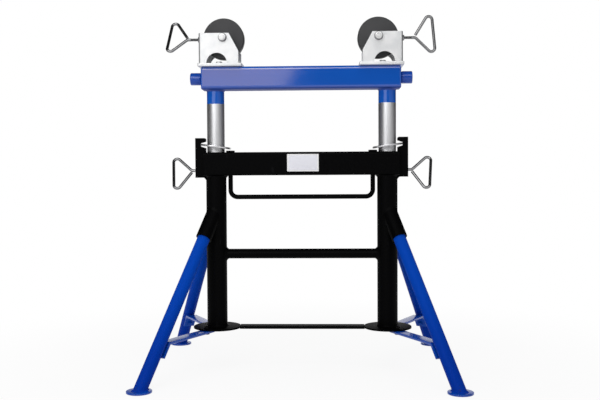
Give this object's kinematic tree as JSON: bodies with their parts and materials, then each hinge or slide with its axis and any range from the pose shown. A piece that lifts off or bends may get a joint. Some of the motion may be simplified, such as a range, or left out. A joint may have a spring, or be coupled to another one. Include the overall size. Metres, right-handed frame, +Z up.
{
  "type": "pipe roller support",
  "caption": "Two-column stand with splayed legs and a height-adjustable head whose braked rollers carry and turn a pipe; friction plates with a lift handle and clamp screws hold the height.",
  "frame": {"origin": "on the floor, midway between the two columns", "axes": "+X from the left column to the right one, +Y from front to back along the pipe, +Z up"},
  "size_m": [1.0622, 0.8128, 1.2099],
  "materials": {
    "black_paint": "satin black powder coat",
    "blue_paint": "gloss blue paint",
    "zinc_plate": "bright zinc plating",
    "bright_tube": "bright zinc plated tube",
    "bright_rod": "bright plated rod",
    "bolt_steel": "zinc plated fasteners",
    "roller_polymer": "dark grey cast polymer",
    "bronze": "plain bronze"
  },
  "bodies": {
    "stand": {"left_post": "black_paint", "right_post": "black_paint", "crossmember": "black_paint", "left_hook_bracket": "black_paint", "right_hook_bracket": "black_paint", "mid_rail": "black_paint", "tie_bar": "black_paint", "left_base_disc": "black_paint", "right_base_disc": "black_paint", "front_left_socket": "black_paint", "front_right_socket": "black_paint", "rear_left_socket": "black_paint", "rear_right_socket": "black_paint", "front_left_leg": "blue_paint", "front_right_leg": "blue_paint", "rear_left_leg": "blue_paint", "rear_right_leg": "blue_paint", "front_left_foot": "blue_paint", "front_right_foot": "blue_paint", "rear_left_foot": "blue_paint", "rear_right_foot": "blue_paint", "front_left_brace": "blue_paint", "front_right_brace": "blue_paint", "rear_left_brace": "blue_paint", "rear_right_brace": "blue_paint", "brace_bolts": "bolt_steel", "brace_nuts": "bolt_steel"},
    "release": {"release_handle": "black_paint", "release_collars": "black_paint"},
    "left_lock": {"left_lock_plate": "zinc_plate"},
    "right_lock": {"right_lock_plate": "zinc_plate"},
    "head": {"left_inner_tube": "bright_tube", "right_inner_tube": "bright_tube", "beam": "blue_paint", "beam_end_caps": "blue_paint", "left_end_stub": "blue_paint", "right_end_stub": "blue_paint", "left_bracket_base": "zinc_plate", "right_bracket_base": "zinc_plate", "bracket_bolts": "bolt_steel", "left_roller_bracket": "zinc_plate", "right_roller_bracket": "zinc_plate", "brake_nuts": "zinc_plate", "left_axle_bolt": "zinc_plate", "right_axle_bolt": "zinc_plate", "axle_nuts": "zinc_plate", "axle_spacers": "zinc_plate"},
    "left_roller": {"left_roller": "roller_polymer", "left_roller_bush": "bronze"},
    "left_brake_pad": {"left_brake_pad": "bronze"},
    "left_brake_screw": {"left_brake_screw": "bright_rod"},
    "left_clamp_pad": {"left_clamp_pad": "bronze"},
    "left_clamp_screw": {"left_clamp_screw": "bright_rod"},
    "right_roller": {"right_roller": "roller_polymer", "right_roller_bush": "bronze"},
    "right_brake_pad": {"right_brake_pad": "bronze"},
    "right_brake_screw": {"right_brake_screw": "bright_rod"},
    "right_clamp_pad": {"right_clamp_pad": "bronze"},
    "right_clamp_screw": {"right_clamp_screw": "bright_rod"}
  },
  "joints": [
    {"name": "head_slide", "type": "slide", "parent": "stand", "child": "head", "axis": [0, 0, 1], "range_m": [-0.16, 0.25]},
    {"name": "release_lift", "type": "slide", "parent": "stand", "child": "release", "axis": [0, 0, 1], "range_m": [0, 0.0158]},
    {"name": "left_lock_tilt", "type": "hinge", "parent": "stand", "child": "left_lock", "pos_m": [-0.346, 0, 0.771], "axis": [0, -1, 0], "range_deg": [0, 6.8]},
    {"name": "left_roller_spin", "type": "hinge", "parent": "head", "child": "left_roller", "pos_m": [-0.265, 0, 1.1336], "axis": [0, 1, 0], "continuous": true},
    {"name": "left_brake_turn", "type": "hinge", "parent": "left_brake_pad", "child": "left_brake_screw", "pos_m": [-0.3465, 0, 1.1336], "axis": [1, 0, 0], "range_deg": [-270.5, 270.5]},
    {"name": "left_brake_feed", "type": "slide", "parent": "head", "child": "left_brake_pad", "axis": [1, 0, 0], "range_m": [-0.00112, 0.00112]},
    {"name": "left_clamp_turn", "type": "hinge", "parent": "left_clamp_pad", "child": "left_clamp_screw", "pos_m": [-0.3665, 0, 0.6815], "axis": [1, 0, 0], "range_deg": [-720.5, 120.5]},
    {"name": "left_clamp_feed", "type": "slide", "parent": "stand", "child": "left_clamp_pad", "axis": [1, 0, 0], "range_m": [-0.003, 0.0005]},
    {"name": "right_lock_tilt", "type": "hinge", "parent": "stand", "child": "right_lock", "pos_m": [0.346, 0, 0.771], "axis": [0, 1, 0], "range_deg": [0, 6.8]},
    {"name": "right_roller_spin", "type": "hinge", "parent": "head", "child": "right_roller", "pos_m": [0.265, 0, 1.1336], "axis": [0, 1, 0], "continuous": true},
    {"name": "right_brake_turn", "type": "hinge", "parent": "right_brake_pad", "child": "right_brake_screw", "pos_m": [0.3465, 0, 1.1336], "axis": [-1, 0, 0], "range_deg": [-270.5, 270.5]},
    {"name": "right_brake_feed", "type": "slide", "parent": "head", "child": "right_brake_pad", "axis": [-1, 0, 0], "range_m": [-0.00112, 0.00112]},
    {"name": "right_clamp_turn", "type": "hinge", "parent": "right_clamp_pad", "child": "right_clamp_screw", "pos_m": [0.3665, 0, 0.6815], "axis": [-1, 0, 0], "range_deg": [-720.5, 120.5]},
    {"name": "right_clamp_feed", "type": "slide", "parent": "stand", "child": "right_clamp_pad", "axis": [-1, 0, 0], "range_m": [-0.003, 0.0005]}
  ],
  "couplings": [
    {"joint": "left_lock_tilt", "follows": "release_lift", "rad_per_m": 7.4},
    {"joint": "left_brake_turn", "follows": "left_brake_feed", "rad_per_m": 4188.8},
    {"joint": "left_clamp_turn", "follows": "left_clamp_feed", "rad_per_m": 4188.8},
    {"joint": "right_lock_tilt", "follows": "release_lift", "rad_per_m": 7.4},
    {"joint": "right_brake_turn", "follows": "right_brake_feed", "rad_per_m": 4188.8},
    {"joint": "right_clamp_turn", "follows": "right_clamp_feed", "rad_per_m": 4188.8}
  ]
}
